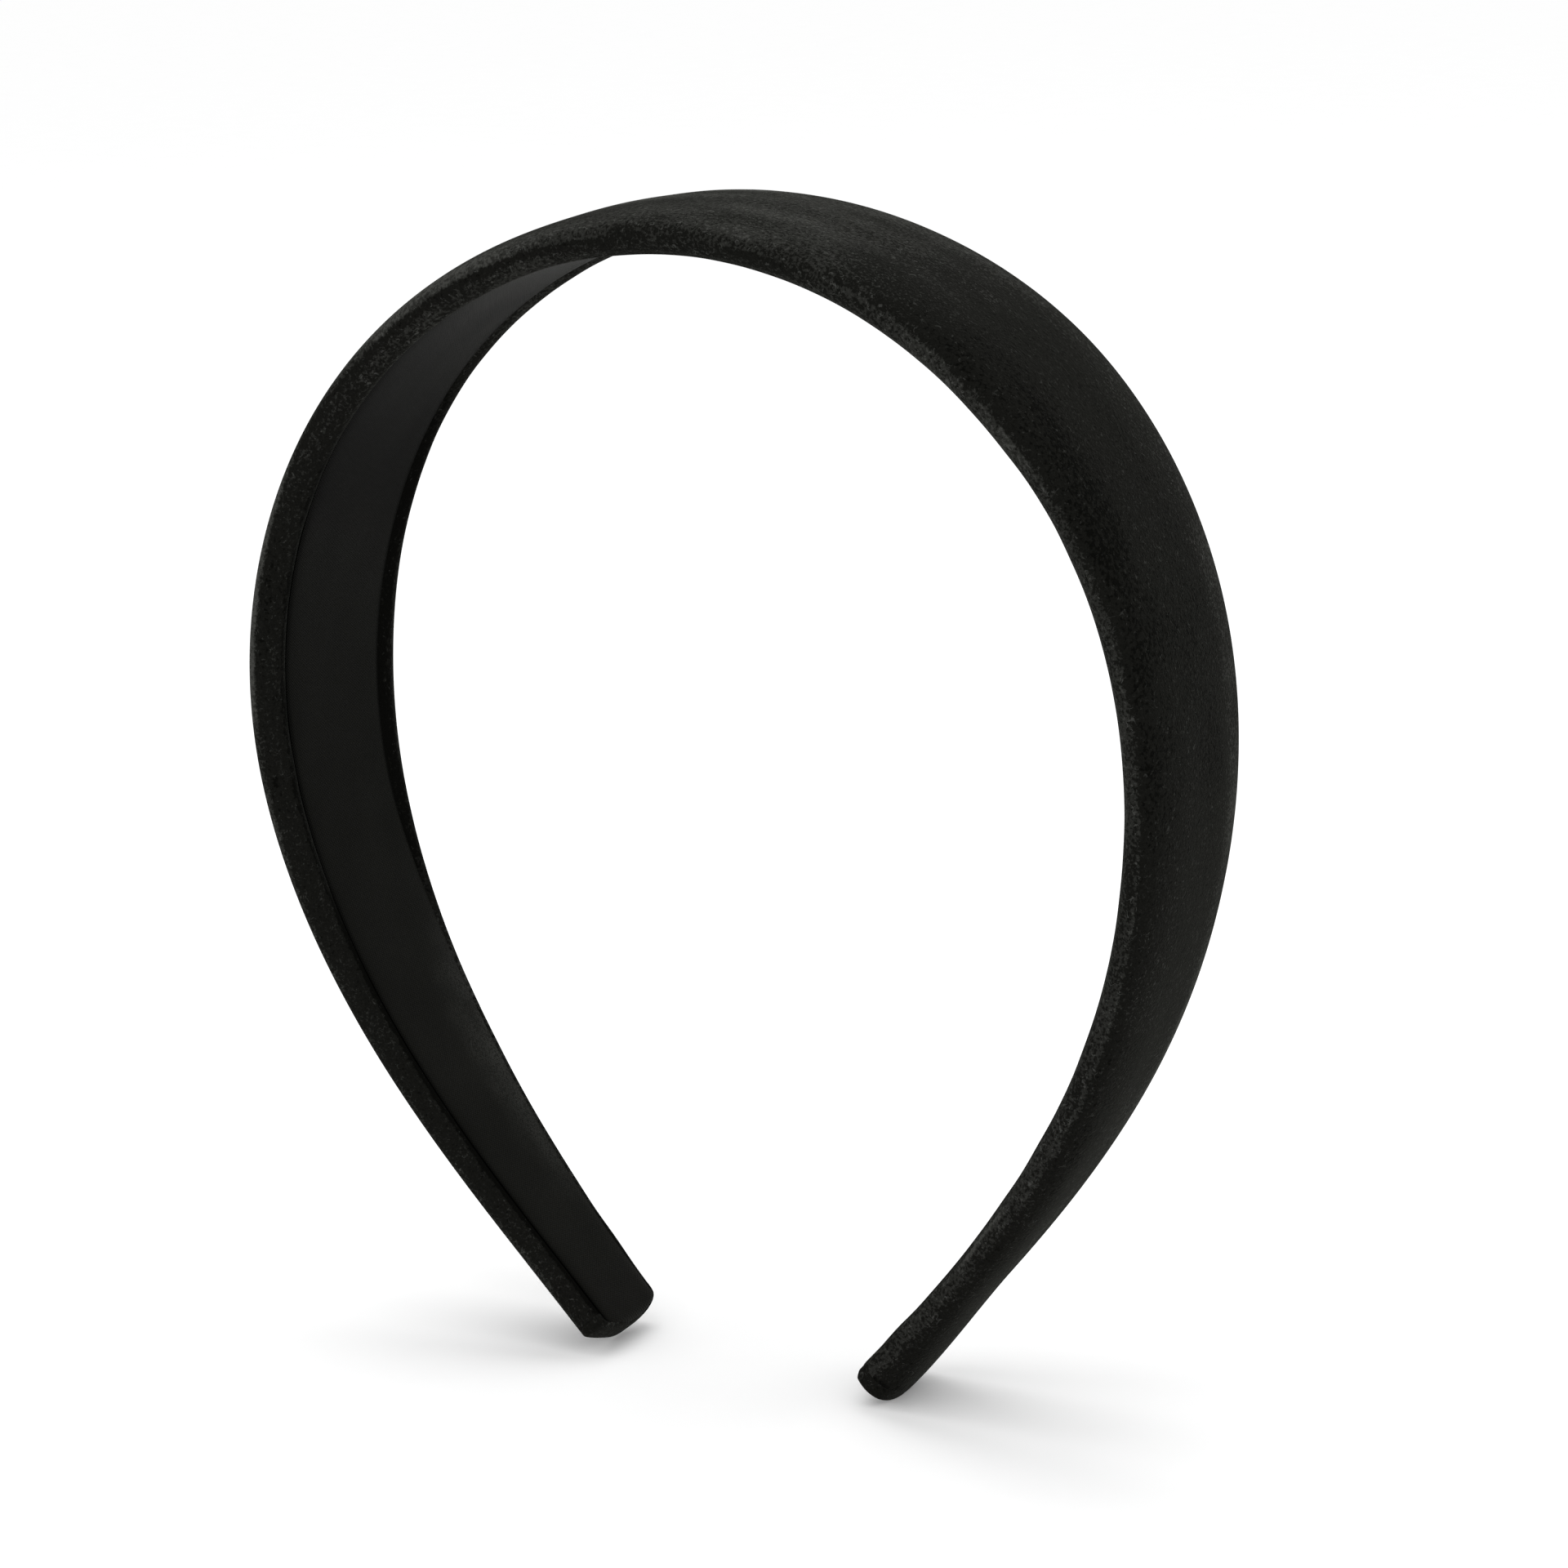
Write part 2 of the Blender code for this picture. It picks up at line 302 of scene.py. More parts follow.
def noise_node(nodes, links, coord, scale, detail=2.0, rough=0.5, distortion=0.0, stretch=None):
    tex = nodes.new("ShaderNodeTexNoise")
    tex.inputs["Scale"].default_value = scale
    tex.inputs["Detail"].default_value = detail
    tex.inputs["Roughness"].default_value = rough
    tex.inputs["Distortion"].default_value = distortion
    if stretch:
        m = nodes.new("ShaderNodeMapping")
        m.inputs["Scale"].default_value = stretch
        links.new(coord, m.inputs["Vector"])
        links.new(m.outputs["Vector"], tex.inputs["Vector"])
    else:
        links.new(coord, tex.inputs["Vector"])
    return tex.outputs["Fac"]


def ranged(nodes, links, value, low, high, to_low=0.0, to_high=1.0, smooth=True):
    r = nodes.new("ShaderNodeMapRange")
    r.interpolation_type = "SMOOTHSTEP" if smooth else "LINEAR"
    r.inputs["From Min"].default_value = low
    r.inputs["From Max"].default_value = high
    r.inputs["To Min"].default_value = to_low
    r.inputs["To Max"].default_value = to_high
    links.new(value, r.inputs["Value"])
    return r.outputs["Result"]


def maths(nodes, links, op, a, b=None):
    m = nodes.new("ShaderNodeMath")
    m.operation = op
    for socket, value in zip(m.inputs, (a, b)):
        if value is None:
            continue
        if isinstance(value, (int, float)):
            socket.default_value = value
        else:
            links.new(value, socket)
    return m.outputs["Value"]


def mixed(nodes, links, fac, a, b):
    m = nodes.new("ShaderNodeMix")
    m.data_type = "RGBA"
    links.new(fac, m.inputs["Factor"])
    for key, value in (("A", a), ("B", b)):
        socket = [i for i in m.inputs if i.name == key and i.type == "RGBA"][0]
        if isinstance(value, tuple):
            socket.default_value = (*value, 1.0)
        else:
            links.new(value, socket)
    return [o for o in m.outputs if o.type == "RGBA"][0]


def velvet_material():
    """Short black pile: fine grain, random blotches, painted highlight and painted shade from the per-point tone, and
    stray curly fibres.
    """
    mat, nodes, links, bsdf = nodes_of("black_velvet")
    coord = nodes.new("ShaderNodeTexCoord").outputs["Object"]
    pile_tone_and_light = nodes.new("ShaderNodeAttribute")
    pile_tone_and_light.attribute_name = "tone_and_painted_light"
    pile_tone_and_light = pile_tone_and_light.outputs["Fac"]
    speck = noise_node(nodes, links, coord, 4200.0, 1.0, 0.6)
    grain = noise_node(nodes, links, coord, 1700.0, 2.0, 0.6)
    raised = noise_node(nodes, links, coord, 2100.0, 2.5, 0.62)
    sunk = noise_node(nodes, links, coord, 1650.0, 2.5, 0.62)
    mottle = noise_node(nodes, links, coord, 120.0, 4.0, 0.62)
    # the per-point tone moves the pale and dark flecks: painted highlight above 0, painted shade below; lint shows more
    # where it is paler
    mottle_and_painted_light = maths(nodes, links, "ADD", pile_tone_and_light, maths(nodes, links, "MULTIPLY", maths(nodes, links, "SUBTRACT", mottle, 0.5), 0.35))
    mottle_and_painted_light = maths(nodes, links, "MULTIPLY", mottle_and_painted_light, 0.42)
    high = maths(nodes, links, "ADD", raised, mottle_and_painted_light)
    low = maths(nodes, links, "SUBTRACT", sunk, mottle_and_painted_light)
    fibres = []
    for scale, twist, thin, pick in ((820.0, 0.9, 0.034, 1150.0), (1400.0, 1.3, 0.048, 1700.0)):
        line = noise_node(nodes, links, coord, scale, 0.0, 0.5, twist)
        line = maths(nodes, links, "ABSOLUTE", maths(nodes, links, "SUBTRACT", line, 0.5))
        line = ranged(nodes, links, line, thin * 0.35, thin, 1.0, 0.0)
        part = noise_node(nodes, links, coord, pick, 1.0)
        part = maths(nodes, links, "ADD", part, maths(nodes, links, "MULTIPLY", pile_tone_and_light, 0.090))
        part = maths(nodes, links, "ADD", part, maths(nodes, links, "MULTIPLY", mottle, 0.12))
        fibres.append(maths(nodes, links, "MULTIPLY", line, ranged(nodes, links, part, 0.668, 0.728)))
    fibre = maths(nodes, links, "MAXIMUM", fibres[0], fibres[1])
    tone = maths(nodes, links, "MULTIPLY",
                 ranged(nodes, links, speck, 0.28, 0.72, 0.45, 1.0),
                 ranged(nodes, links, grain, 0.30, 0.70, 0.55, 1.0))
    colour = mixed(nodes, links, tone, (0.0046, 0.0046, 0.0040), (0.0088, 0.0088, 0.0077))
    colour = mixed(nodes, links, ranged(nodes, links, low, 0.60, 0.74, 0.0, 0.85), colour, (0.0024, 0.0024, 0.0021))
    colour = mixed(nodes, links, ranged(nodes, links, high, 0.58, 0.72, 0.0, 0.80), colour, (0.0215, 0.0217, 0.0196))
    colour = mixed(nodes, links, ranged(nodes, links, high, 0.76, 0.94, 0.0, 0.80), colour, (0.0480, 0.0485, 0.0445))
    curl = maths(nodes, links, "MULTIPLY", fibre, ranged(nodes, links, pile_tone_and_light, -0.2, 0.4, 0.30, 0.70))
    colour = mixed(nodes, links, curl, colour, (0.056, 0.057, 0.053))
    links.new(colour, bsdf.inputs["Base Color"])
    height = maths(nodes, links, "ADD", maths(nodes, links, "ADD", grain, speck),
                   maths(nodes, links, "ADD", maths(nodes, links, "MULTIPLY", fibre, 0.8), raised))
    bump = nodes.new("ShaderNodeBump")
    bump.inputs["Strength"].default_value = 0.5
    bump.inputs["Distance"].default_value = 0.0002
    links.new(height, bump.inputs["Height"])
    links.new(bump.outputs["Normal"], bsdf.inputs["Normal"])
    bsdf.inputs["Roughness"].default_value = 0.95
    bsdf.inputs["Specular IOR Level"].default_value = 0.0
    links.new(ranged(nodes, links, pile_tone_and_light, -0.85, -0.45, 0.0, 0.05), bsdf.inputs["Sheen Weight"])
    bsdf.inputs["Sheen Roughness"].default_value = 0.32
    bsdf.inputs["Sheen Tint"].default_value = (0.85, 0.87, 0.80, 1.0)
    return mat


def lining_material():
    """Fine woven ribbon: close lengthwise and crosswise threads and a dull sheen."""
    mat, nodes, links, bsdf = nodes_of("black_ribbon")
    coord = nodes.new("ShaderNodeTexCoord").outputs["UV"]
    split = nodes.new("ShaderNodeSeparateXYZ")
    links.new(coord, split.inputs["Vector"])
    warp = maths(nodes, links, "SINE", maths(nodes, links, "MULTIPLY", split.outputs["X"], 2 * math.pi / 0.42))
    weft = maths(nodes, links, "SINE", maths(nodes, links, "MULTIPLY", split.outputs["Y"], 2 * math.pi / 0.55))
    weave = maths(nodes, links, "MULTIPLY", warp, weft)
    obj = nodes.new("ShaderNodeTexCoord").outputs["Object"]
    grain = noise_node(nodes, links, obj, 3000.0, 2.0, 0.6)
    mottle = noise_node(nodes, links, obj, 90.0, 4.0, 0.6)
    tone = maths(nodes, links, "ADD",
                 ranged(nodes, links, weave, -1.0, 1.0, 0.0, 0.35, False),
                 maths(nodes, links, "MULTIPLY", grain, ranged(nodes, links, mottle, 0.3, 0.7, 0.3, 1.0)))
    colour = mixed(nodes, links, tone, (0.0032, 0.0032, 0.0028), (0.0080, 0.0080, 0.0070))
    # the per-point tone: painted shade below 0, painted highlight above it
    strip_tone_and_light = nodes.new("ShaderNodeAttribute")
    strip_tone_and_light.attribute_name = "tone_and_painted_light"
    colour = mixed(nodes, links, ranged(nodes, links, strip_tone_and_light.outputs["Fac"], -1.0, 0.0, 0.8, 0.0, False), colour, (0.0010, 0.0010, 0.0009))
    colour = mixed(nodes, links, maths(nodes, links, "MULTIPLY", ranged(nodes, links, strip_tone_and_light.outputs["Fac"], 0.0, 1.0, 0.0, 1.0, False),
                                       ranged(nodes, links, grain, 0.35, 0.60, 0.2, 1.0)), colour, (0.0300, 0.0302, 0.0275))
    links.new(colour, bsdf.inputs["Base Color"])
    bump = nodes.new("ShaderNodeBump")
    bump.inputs["Strength"].default_value = 0.35
    bump.inputs["Distance"].default_value = 0.0001
    links.new(maths(nodes, links, "ADD", weave, grain), bump.inputs["Height"])
    links.new(bump.outputs["Normal"], bsdf.inputs["Normal"])
    bsdf.inputs["Roughness"].default_value = 0.55
    bsdf.inputs["Specular IOR Level"].default_value = 0.012
    links.new(ranged(nodes, links, strip_tone_and_light.outputs["Fac"], -1.0, -0.48, 0.003, 0.018), bsdf.inputs["Sheen Weight"])
    bsdf.inputs["Sheen Roughness"].default_value = 0.45
    bsdf.inputs["Specular Tint"].default_value = (1.0, 1.0, 0.86, 1.0)
    bsdf.inputs["Sheen Tint"].default_value = (0.80, 0.81, 0.68, 1.0)
    return mat


def plain_material(name, low, high, scale, roughness, strength):
    """A plain hidden material with grain of its own."""
    mat, nodes, links, bsdf = nodes_of(name)
    coord = nodes.new("ShaderNodeTexCoord").outputs["Object"]
    grain = noise_node(nodes, links, coord, scale, 4.0, 0.6)
    links.new(mixed(nodes, links, ranged(nodes, links, grain, 0.35, 0.65), low, high), bsdf.inputs["Base Color"])
    bump = nodes.new("ShaderNodeBump")
    bump.inputs["Strength"].default_value = strength
    bump.inputs["Distance"].default_value = 0.0002
    links.new(grain, bump.inputs["Height"])
    links.new(bump.outputs["Normal"], bsdf.inputs["Normal"])
    bsdf.inputs["Roughness"].default_value = roughness
    return mat


# ------------------------------------------------------- sections of each strip
def catmull(points, count):
    """A smooth open line through points, as count points."""
    p = np.asarray(points, float)
    p = np.concatenate([2 * p[:1] - p[1:2], p, 2 * p[-1:] - p[-2:-1]])
    t = np.linspace(0, len(p) - 3 - 1e-9, count)
    i = t.astype(int)
    f = (t - i)[:, None]
    a, b, c, d = p[i], p[i + 1], p[i + 2], p[i + 3]
    return 0.5 * (2 * b + (c - a) * f + (2 * a - 5 * b + 4 * c - d) * f ** 2 + (3 * b - a - 3 * c + d) * f ** 3)


# the turned-in edge, as (in from the edge, level), from under the lining to the widest point
RIM_GAUGE = 4.2
RIM = catmull([(7.0, -0.85), (5.6, -0.85), (4.7, -0.88), (4.1, -1.12), (3.4, -1.55), (2.5, -1.78),
               (1.7, -1.62), (1.15, -1.22), (0.72, -0.80), (0.18, 0.08), (0.0, 1.0)], 34)


def rim_width(s, edge):
    """Velvet left showing beside the lining, at the front (-1) or back (1) edge."""
    s = np.asarray(s, float)
    width = half_width(s) * (1.0 - LINING_SHARE)
    if edge > 0:
        width = width * (1.0 - 0.62 * soft(s, 112.0, 160.0)) + 1.5 * np.exp(-((s - 102.0) / 26.0) ** 2)
    return width


def rim_section(s, edge, side):
    """The turned-in edge at stations s: how far in from the edge, and the level."""
    gauge = rim_width(s, edge) / RIM_GAUGE
    half = half_width(s)
    inner = np.maximum(4.7 * gauge + 1.0, np.minimum(TURN_IN, half - 1.2))
    t = np.clip((RIM[None, :, 0] - 4.7) / 2.3, 0.0, 1.0)
    off = np.where(t > 0, 4.7 * gauge + (inner - 4.7 * gauge) * t, RIM[None, :, 0] * gauge)
    level = np.where(RIM[None, :, 1] < TURNED_FACE,
                     TURNED_FACE + (RIM[None, :, 1] - TURNED_FACE) * np.clip(gauge, 0.55, 1.0) * (1.0 - 0.3 * soft(s, 190.0, COVER_STOP)),
                     RIM[None, :, 1])
    # small puckers where the velvet is drawn in, and a soft crease down the roll
    seed = 5 if edge < 0 else 6
    lay = soft(RIM[None, :, 0], 0.5, 2.2)
    level = level + 0.07 * wander(s / 5.5 + 40.0 * side, RIM[None, :, 0] / 2.5, seed) * lay
    level = level + 0.16 * np.exp(-((RIM[None, :, 0] - 1.45) / 0.28) ** 2) * (0.6 + 0.4 * wander(s / 17.0 + 9.0 * side, 0.5, seed + 4))
    return off, level


def dome_angles(count):
    return np.linspace(0.0, np.pi, count)


DOME = dome_angles(73)
ACROSS = -np.sign(np.cos(DOME)) * np.abs(np.cos(DOME)) ** (2.0 / DOME_POWER)
SWELL = np.abs(np.sin(DOME)) ** (2.0 / DOME_POWER)


def cover_grid(side, s):
    """The velvet's outer face: rows down the arm, columns from turned edge to turned edge."""
    s = np.asarray(s, float)[:, None]
    ahead, behind = edges(side, s)
    top_v = ACROSS[None, :] * np.where(ACROSS[None, :] < 0, ahead, behind)
    top_n = EDGE_LEVEL + rise(side, s) * SWELL[None, :]
    front, front_n = rim_section(s, -1, side)
    back, back_n = rim_section(s, 1, side)
    # the pad is a little uneven under the velvet, with soft folds along the crown
    calm = np.abs(np.sin(DOME))[None, :] ** 1.5
    uneven = (0.09 * wander(s / 23.0 + 7.0 * side, top_v / 8.0, 1)
              + 0.05 * wander(s / 11.0 + 3.0 * side, top_v / 4.5, 2)) * calm * soft(s, 0.0, 6.0)
    ridge = 0.05 * np.sin(top_v * 2 * np.pi / 10.5 + 0.7) * calm * (1.0 - soft(s, 25.0, 85.0))
    v = np.concatenate([-(ahead - front)[:, :-1], top_v, (behind - back)[:, ::-1][:, 1:]], 1)
    n = np.concatenate([front_n[:, :-1], top_n + uneven + ridge, back_n[:, ::-1][:, 1:]], 1)
    # the end is drawn in a little, on to the tab
    dip = soft(s, COVER_STOP - 0.4, COVER_STOP)
    mid = 0.5 * (EDGE_LEVEL + RISE + TURNED_FACE)
    n = n + (mid - n) * 0.006 * dip
    return place(side, s, v, n)


def cover_tone_and_painted_light(side, s):
    """The velvet's per-point tone, mostly painted light: above 0 paler (painted highlight), below 0 darker (painted
    shade), with random tone and lint.
    """
    s = np.asarray(s, float)[:, None]
    a = ACROSS[None, :]
    up = SWELL[None, :]
    ahead = (a < 0)
    # painted highlight over the top of the crown, painted light and shade in streaks over its soft folds, and a painted
    # sheen band along the back edge
    crown = 1.0 - soft(s, 10.0, 52.0)
    fold_shading = np.sin(2 * np.pi * (1.9 * a + 0.12) + 1.2 * wander(side * s / 28.0 + 5.0, 0.5, 7))
    top = crown * (0.32 + 0.34 * soft(a, -0.75, 0.10) + 0.16 * fold_shading * (1.0 - np.abs(a)))
    top = top + (0.26 + 0.26 * soft(s, 60.0, 110.0)) * soft(a, 0.36, 0.62)
    # the front shoulder, which gets painted highlight near the crown and painted shade further down
    shade = soft(up, 0.22, 0.50) * (1.0 - soft(up, 0.84, 0.985)) * ahead
    top = top + 0.25 * shade * (1.0 - soft(s, 8.0, 34.0))
    top = top + 0.12 * soft(s, 135.0, 165.0)
    off = RIM[None, :, 0]
    # the front edge: painted highlight near the crown, with random tone
    roll = 0.10 * (1.0 - soft(s, 20.0, 60.0)) + 0.12 * wander(side * s / 6.0 + 3.0, off, 35)
    if side > 0:
        # painted shade over the shoulder and the middle of the arm, with a painted highlight along the edge towards the
        # head that thins out down the arm
        top = top - 0.20 * (1.0 - soft(a, 0.15, 0.45)) * soft(s, 24.0, 46.0) * (1.0 - soft(s, 90.0, 135.0))
        top = top - 0.35 * shade * soft(s, 26.0, 60.0) * (1.0 - soft(s, 84.0, 118.0)) * (0.8 + 0.6 * wander(s / 14.0 + 2.0, up * 2.0, 29))
        top = top - 0.13 * bell(s, 104.0, 24.0) * soft(a, -0.5, -0.1) * (1.0 - soft(a, 0.45, 0.65)) - 0.10 * bell(s, 44.0, 14.0) * soft(a, 0.2, 0.5)
        thin = (1.0 - 0.20 * soft(s, 110.0, 170.0)) * soft(s, 14.0, 40.0)
        roll = roll + 0.46 * thin * (1.0 - soft(off, 1.6, 2.6)) * (0.9 + 0.4 * wander(s / 8.0, off / 2.0, 27))
        top = top + 0.46 * thin * (1.0 - soft(up, 0.02, 0.24)) * ahead
        # a painted highlight along the front edge near the tip
        roll = roll + 1.1 * bell(s, 171.0, 7.0) * bell(off, 0.62 + 0.2 * wander(s / 3.0, 0.5, 25), 0.2)
        # low on the arm, a painted highlight on the crest with painted shade beside it, which narrows the sheen's pale
        # band
        top = top + soft(s, 130.0, 150.0) * (0.30 * soft(a, -0.35, 0.0) - 0.32 * bell(a, -0.72, 0.22))
    else:
        # a painted highlight on the outer side, painted shade in the creases and in the groove beside the ribbon, and a
        # line of lint beside it
        low = 0.12 * bell(s, 60.0, 12.0)
        pale = soft(s, 8.0, 30.0) * (1.0 - 0.5 * bell(s, 60.0, 13.0)) * (1.0 - 0.5 * soft(s, 92.0, 112.0)) * (1.0 - 0.7 * soft(s, 115.0, 150.0))
        top = top + pale * soft(up, low - 0.08, low + 0.14) * (1.0 - soft(up, 0.45, 0.90)) * ahead
        crease_shade = bell(off, 0.33, 0.2) * soft(wander(s / 9.0 + side, 0.5, 39), -0.1, 0.4) * soft(s, 70.0, 84.0) * (1.0 - soft(s, 118.0, 140.0))
        broad = soft(s, 135.0, 180.0)
        groove_shadow = soft(off + 0.35 * broad + 0.2 * wander(s / 6.0 + 5.0 * side, 0.5, 43), 1.75, 2.45)
        groove_shadow = groove_shadow * (0.70 + 0.30 * soft(wander(s / 21.0 + 13.0 * side, 0.5, 41) + 1.2 * soft(s, 120.0, 165.0), -0.2, 0.5))
        lint = 0.6 * bell(off, 1.35, 0.16) * soft(wander(s / 13.0 + 21.0 * side, 0.5, 37), 0.2, 0.6) * soft(wander(s / 1.3, 0.5, 38), 0.0, 0.6)
        roll = roll - 0.30 * crease_shade - 0.85 * groove_shadow * soft(s, 48.0, 74.0) + lint * soft(s, 30.0, 60.0) * (1.0 - soft(s, 120.0, 150.0))
        # near the crown, painted shade in a band along the edge between two painted highlights
        near = soft(s, 6.0, 22.0) * (1.0 - soft(s, 38.0, 64.0))
        roll = roll + near * (0.24 * soft(off, 0.15, 0.5) - 0.30 * (1.0 - soft(off, 0.08, 0.22)))
        # a painted highlight on the outer edge, and darker just inside the edge lower down
        roll = roll + 0.18 * bell(s, 60.0, 12.0) * (1.0 - soft(off, 0.35, 0.6))
        roll = roll - 0.16 * bell(off, 0.18, 0.14) * soft(s, 64.0, 80.0) * (1.0 - soft(s, 112.0, 130.0))
    # painted shadow where the turned-in velvet meets the ribbon
    front = roll - 0.6 * soft(off, 4.0, 4.6) * soft(s, 48.0, 74.0)
    top = top * (0.85 + 0.45 * wander(side * s / 10.0 + 11.0, a * 3.0, 31)) + 0.10 * wander(side * s / 4.0, a * 6.0, 33)
    # the back edge: painted shade on its roll down the arm, a painted highlight near the crown, and paler lower down
    dark = 0.15 * (1.0 - soft(off, 0.6, 1.6)) - 0.8 * soft(off, 1.4, 3.0)
    back = dark * soft(s, 46.0, 76.0) * (1.0 - soft(s, 118.0, 150.0)) + 0.35 * (1.0 - soft(s, 40.0, 66.0)) + 0.12 * wander(side * s / 6.0, off, 45)
    back = back + 0.5 * soft(s, 128.0, 148.0) * (1.0 - soft(s, 176.0, 196.0))
    # towards the tip the tone is patchy, and darker where the tab begins
    patch = soft(s, HALF_LENGTH - 7.5, HALF_LENGTH - 4.0)
    top = top * (1.0 - 0.6 * patch) - 0.5 * patch * soft(wander(s / 1.6 + 3.0 * side, a * 3.0, 47), -0.2, 0.4)
    return np.clip(np.concatenate([front[:, :-1], top, back[:, ::-1][:, 1:]], 1), -1.0, 1.0)


def tab_grid(side, s, inset):
    """The tip tab's outer face: closed loops that carry on the cover's section and shut at the nose."""
    s = np.asarray(s, float)[:, None]
    inset = inset[:, None]
    ahead, behind = (half - inset for half in edges(side, s))
    shut = EDGE_LEVEL + 0.9

    def closing(radius):
        e = np.clip(1.0 - (TIP_END[side] - s) / radius, 0.0, 1.0)
        return np.sqrt(np.clip(1.0 - e * e, 0.0, 1.0))

    front, front_n = rim_section(s, -1, side)
    back, back_n = rim_section(s, 1, side)
    under = slice(8, None, 2)
    front = front[:, under] * np.minimum(1.0, 0.8 * ahead / front[:, under].max(1, keepdims=True))
    back = back[:, under] * np.minimum(1.0, 0.8 * behind / back[:, under].max(1, keepdims=True))
    top_v = ACROSS[None, ::2] * np.where(ACROSS[None, ::2] < 0, ahead, behind)
    top_n = EDGE_LEVEL + (rise(side, s) - inset) * SWELL[None, ::2]
    lift = inset * soft(EDGE_LEVEL - front_n[:, under], 0.0, 1.0)
    flat = np.linspace(0.9, -0.9, 13)[None, :]
    reach_b, reach_f = (behind - back)[:, :1], (ahead - front)[:, :1]
    flat_v = 0.5 * (reach_b - reach_f) + 0.5 * (reach_b + reach_f) * flat
    flat_n = np.broadcast_to(TURNED_FACE - 0.03 + inset, flat_v.shape)
    v = np.concatenate([-(ahead - front)[:, :-1], top_v, (behind - back)[:, ::-1][:, 1:], flat_v], 1)
    n = np.concatenate([(front_n[:, under] + lift)[:, :-1], top_n, (back_n[:, under] + lift)[:, ::-1][:, 1:], flat_n], 1)
    n = shut + (n - shut) * np.where(n > shut, closing(NOSE_OUT), closing(NOSE_IN))
    return place(side, s, v, n)


def box_loop(half_low, half_high, low, high, cols):
    """A flat strip's section: cols points along each face, for rows of half widths."""
    t = np.linspace(-1, 1, cols)[None, :]
    v = np.concatenate([t * half_high, -t * half_low], 1)
    n = np.concatenate([np.broadcast_to(high, (len(half_high), cols)), np.broadcast_to(low, (len(half_low), cols))], 1)
    return v, n


def lay_rows(stop, step, corner=0.0):
    """Stations from the crown's centre to stop, closer round a tip's corners."""
    rows = np.linspace(0.0, stop - corner, int((stop - corner) / step) + 1)
    if corner:
        rows = np.concatenate([rows, stop - corner + corner * np.sin(np.linspace(0, 0.5 * np.pi, 9)[1:])])
    return rows


# ----------------------------------------------------------------- the pieces
def flat_strip(name, side, stop, corner, inset, low, high, mat, cols=9, bulge=0.0):
    s = lay_rows(stop, 1.6, corner)[:, None]
    half = half_width(s) - inset
    if corner:
        half = half - corner_cut(s, stop, corner)
    v, n = box_loop(half, half, low, high, cols)
    return sweep(name, place(side, s, v, n), side, mat)


def foam_strip(name, side, mat):
    s = lay_rows(HALF_LENGTH - 8.0, 1.6)[:, None]
    clear = VELVET_THICK + GAP
    low = (FOAM_BASE + FOAM_EDGE - EDGE_LEVEL) / (RISE - clear)
    half = (half_width(s) - clear) * (1.0 - low ** DOME_POWER) ** (1.0 / DOME_POWER) - 0.15
    t = np.sin(0.5 * np.pi * np.linspace(-1, 1, 25))[None, :]
    w = np.abs(t * half) / (half_width(s) - clear)
    top = EDGE_LEVEL + (RISE - clear) * (1.0 - w ** DOME_POWER) ** (1.0 / DOME_POWER) - 0.12
    v = np.concatenate([t * half, -t * half], 1)
    n = np.concatenate([np.maximum(top, FOAM_BASE + 0.1), np.full_like(t * half, FOAM_BASE)], 1)
    return sweep(name, place(side, s, v, n), side, mat)


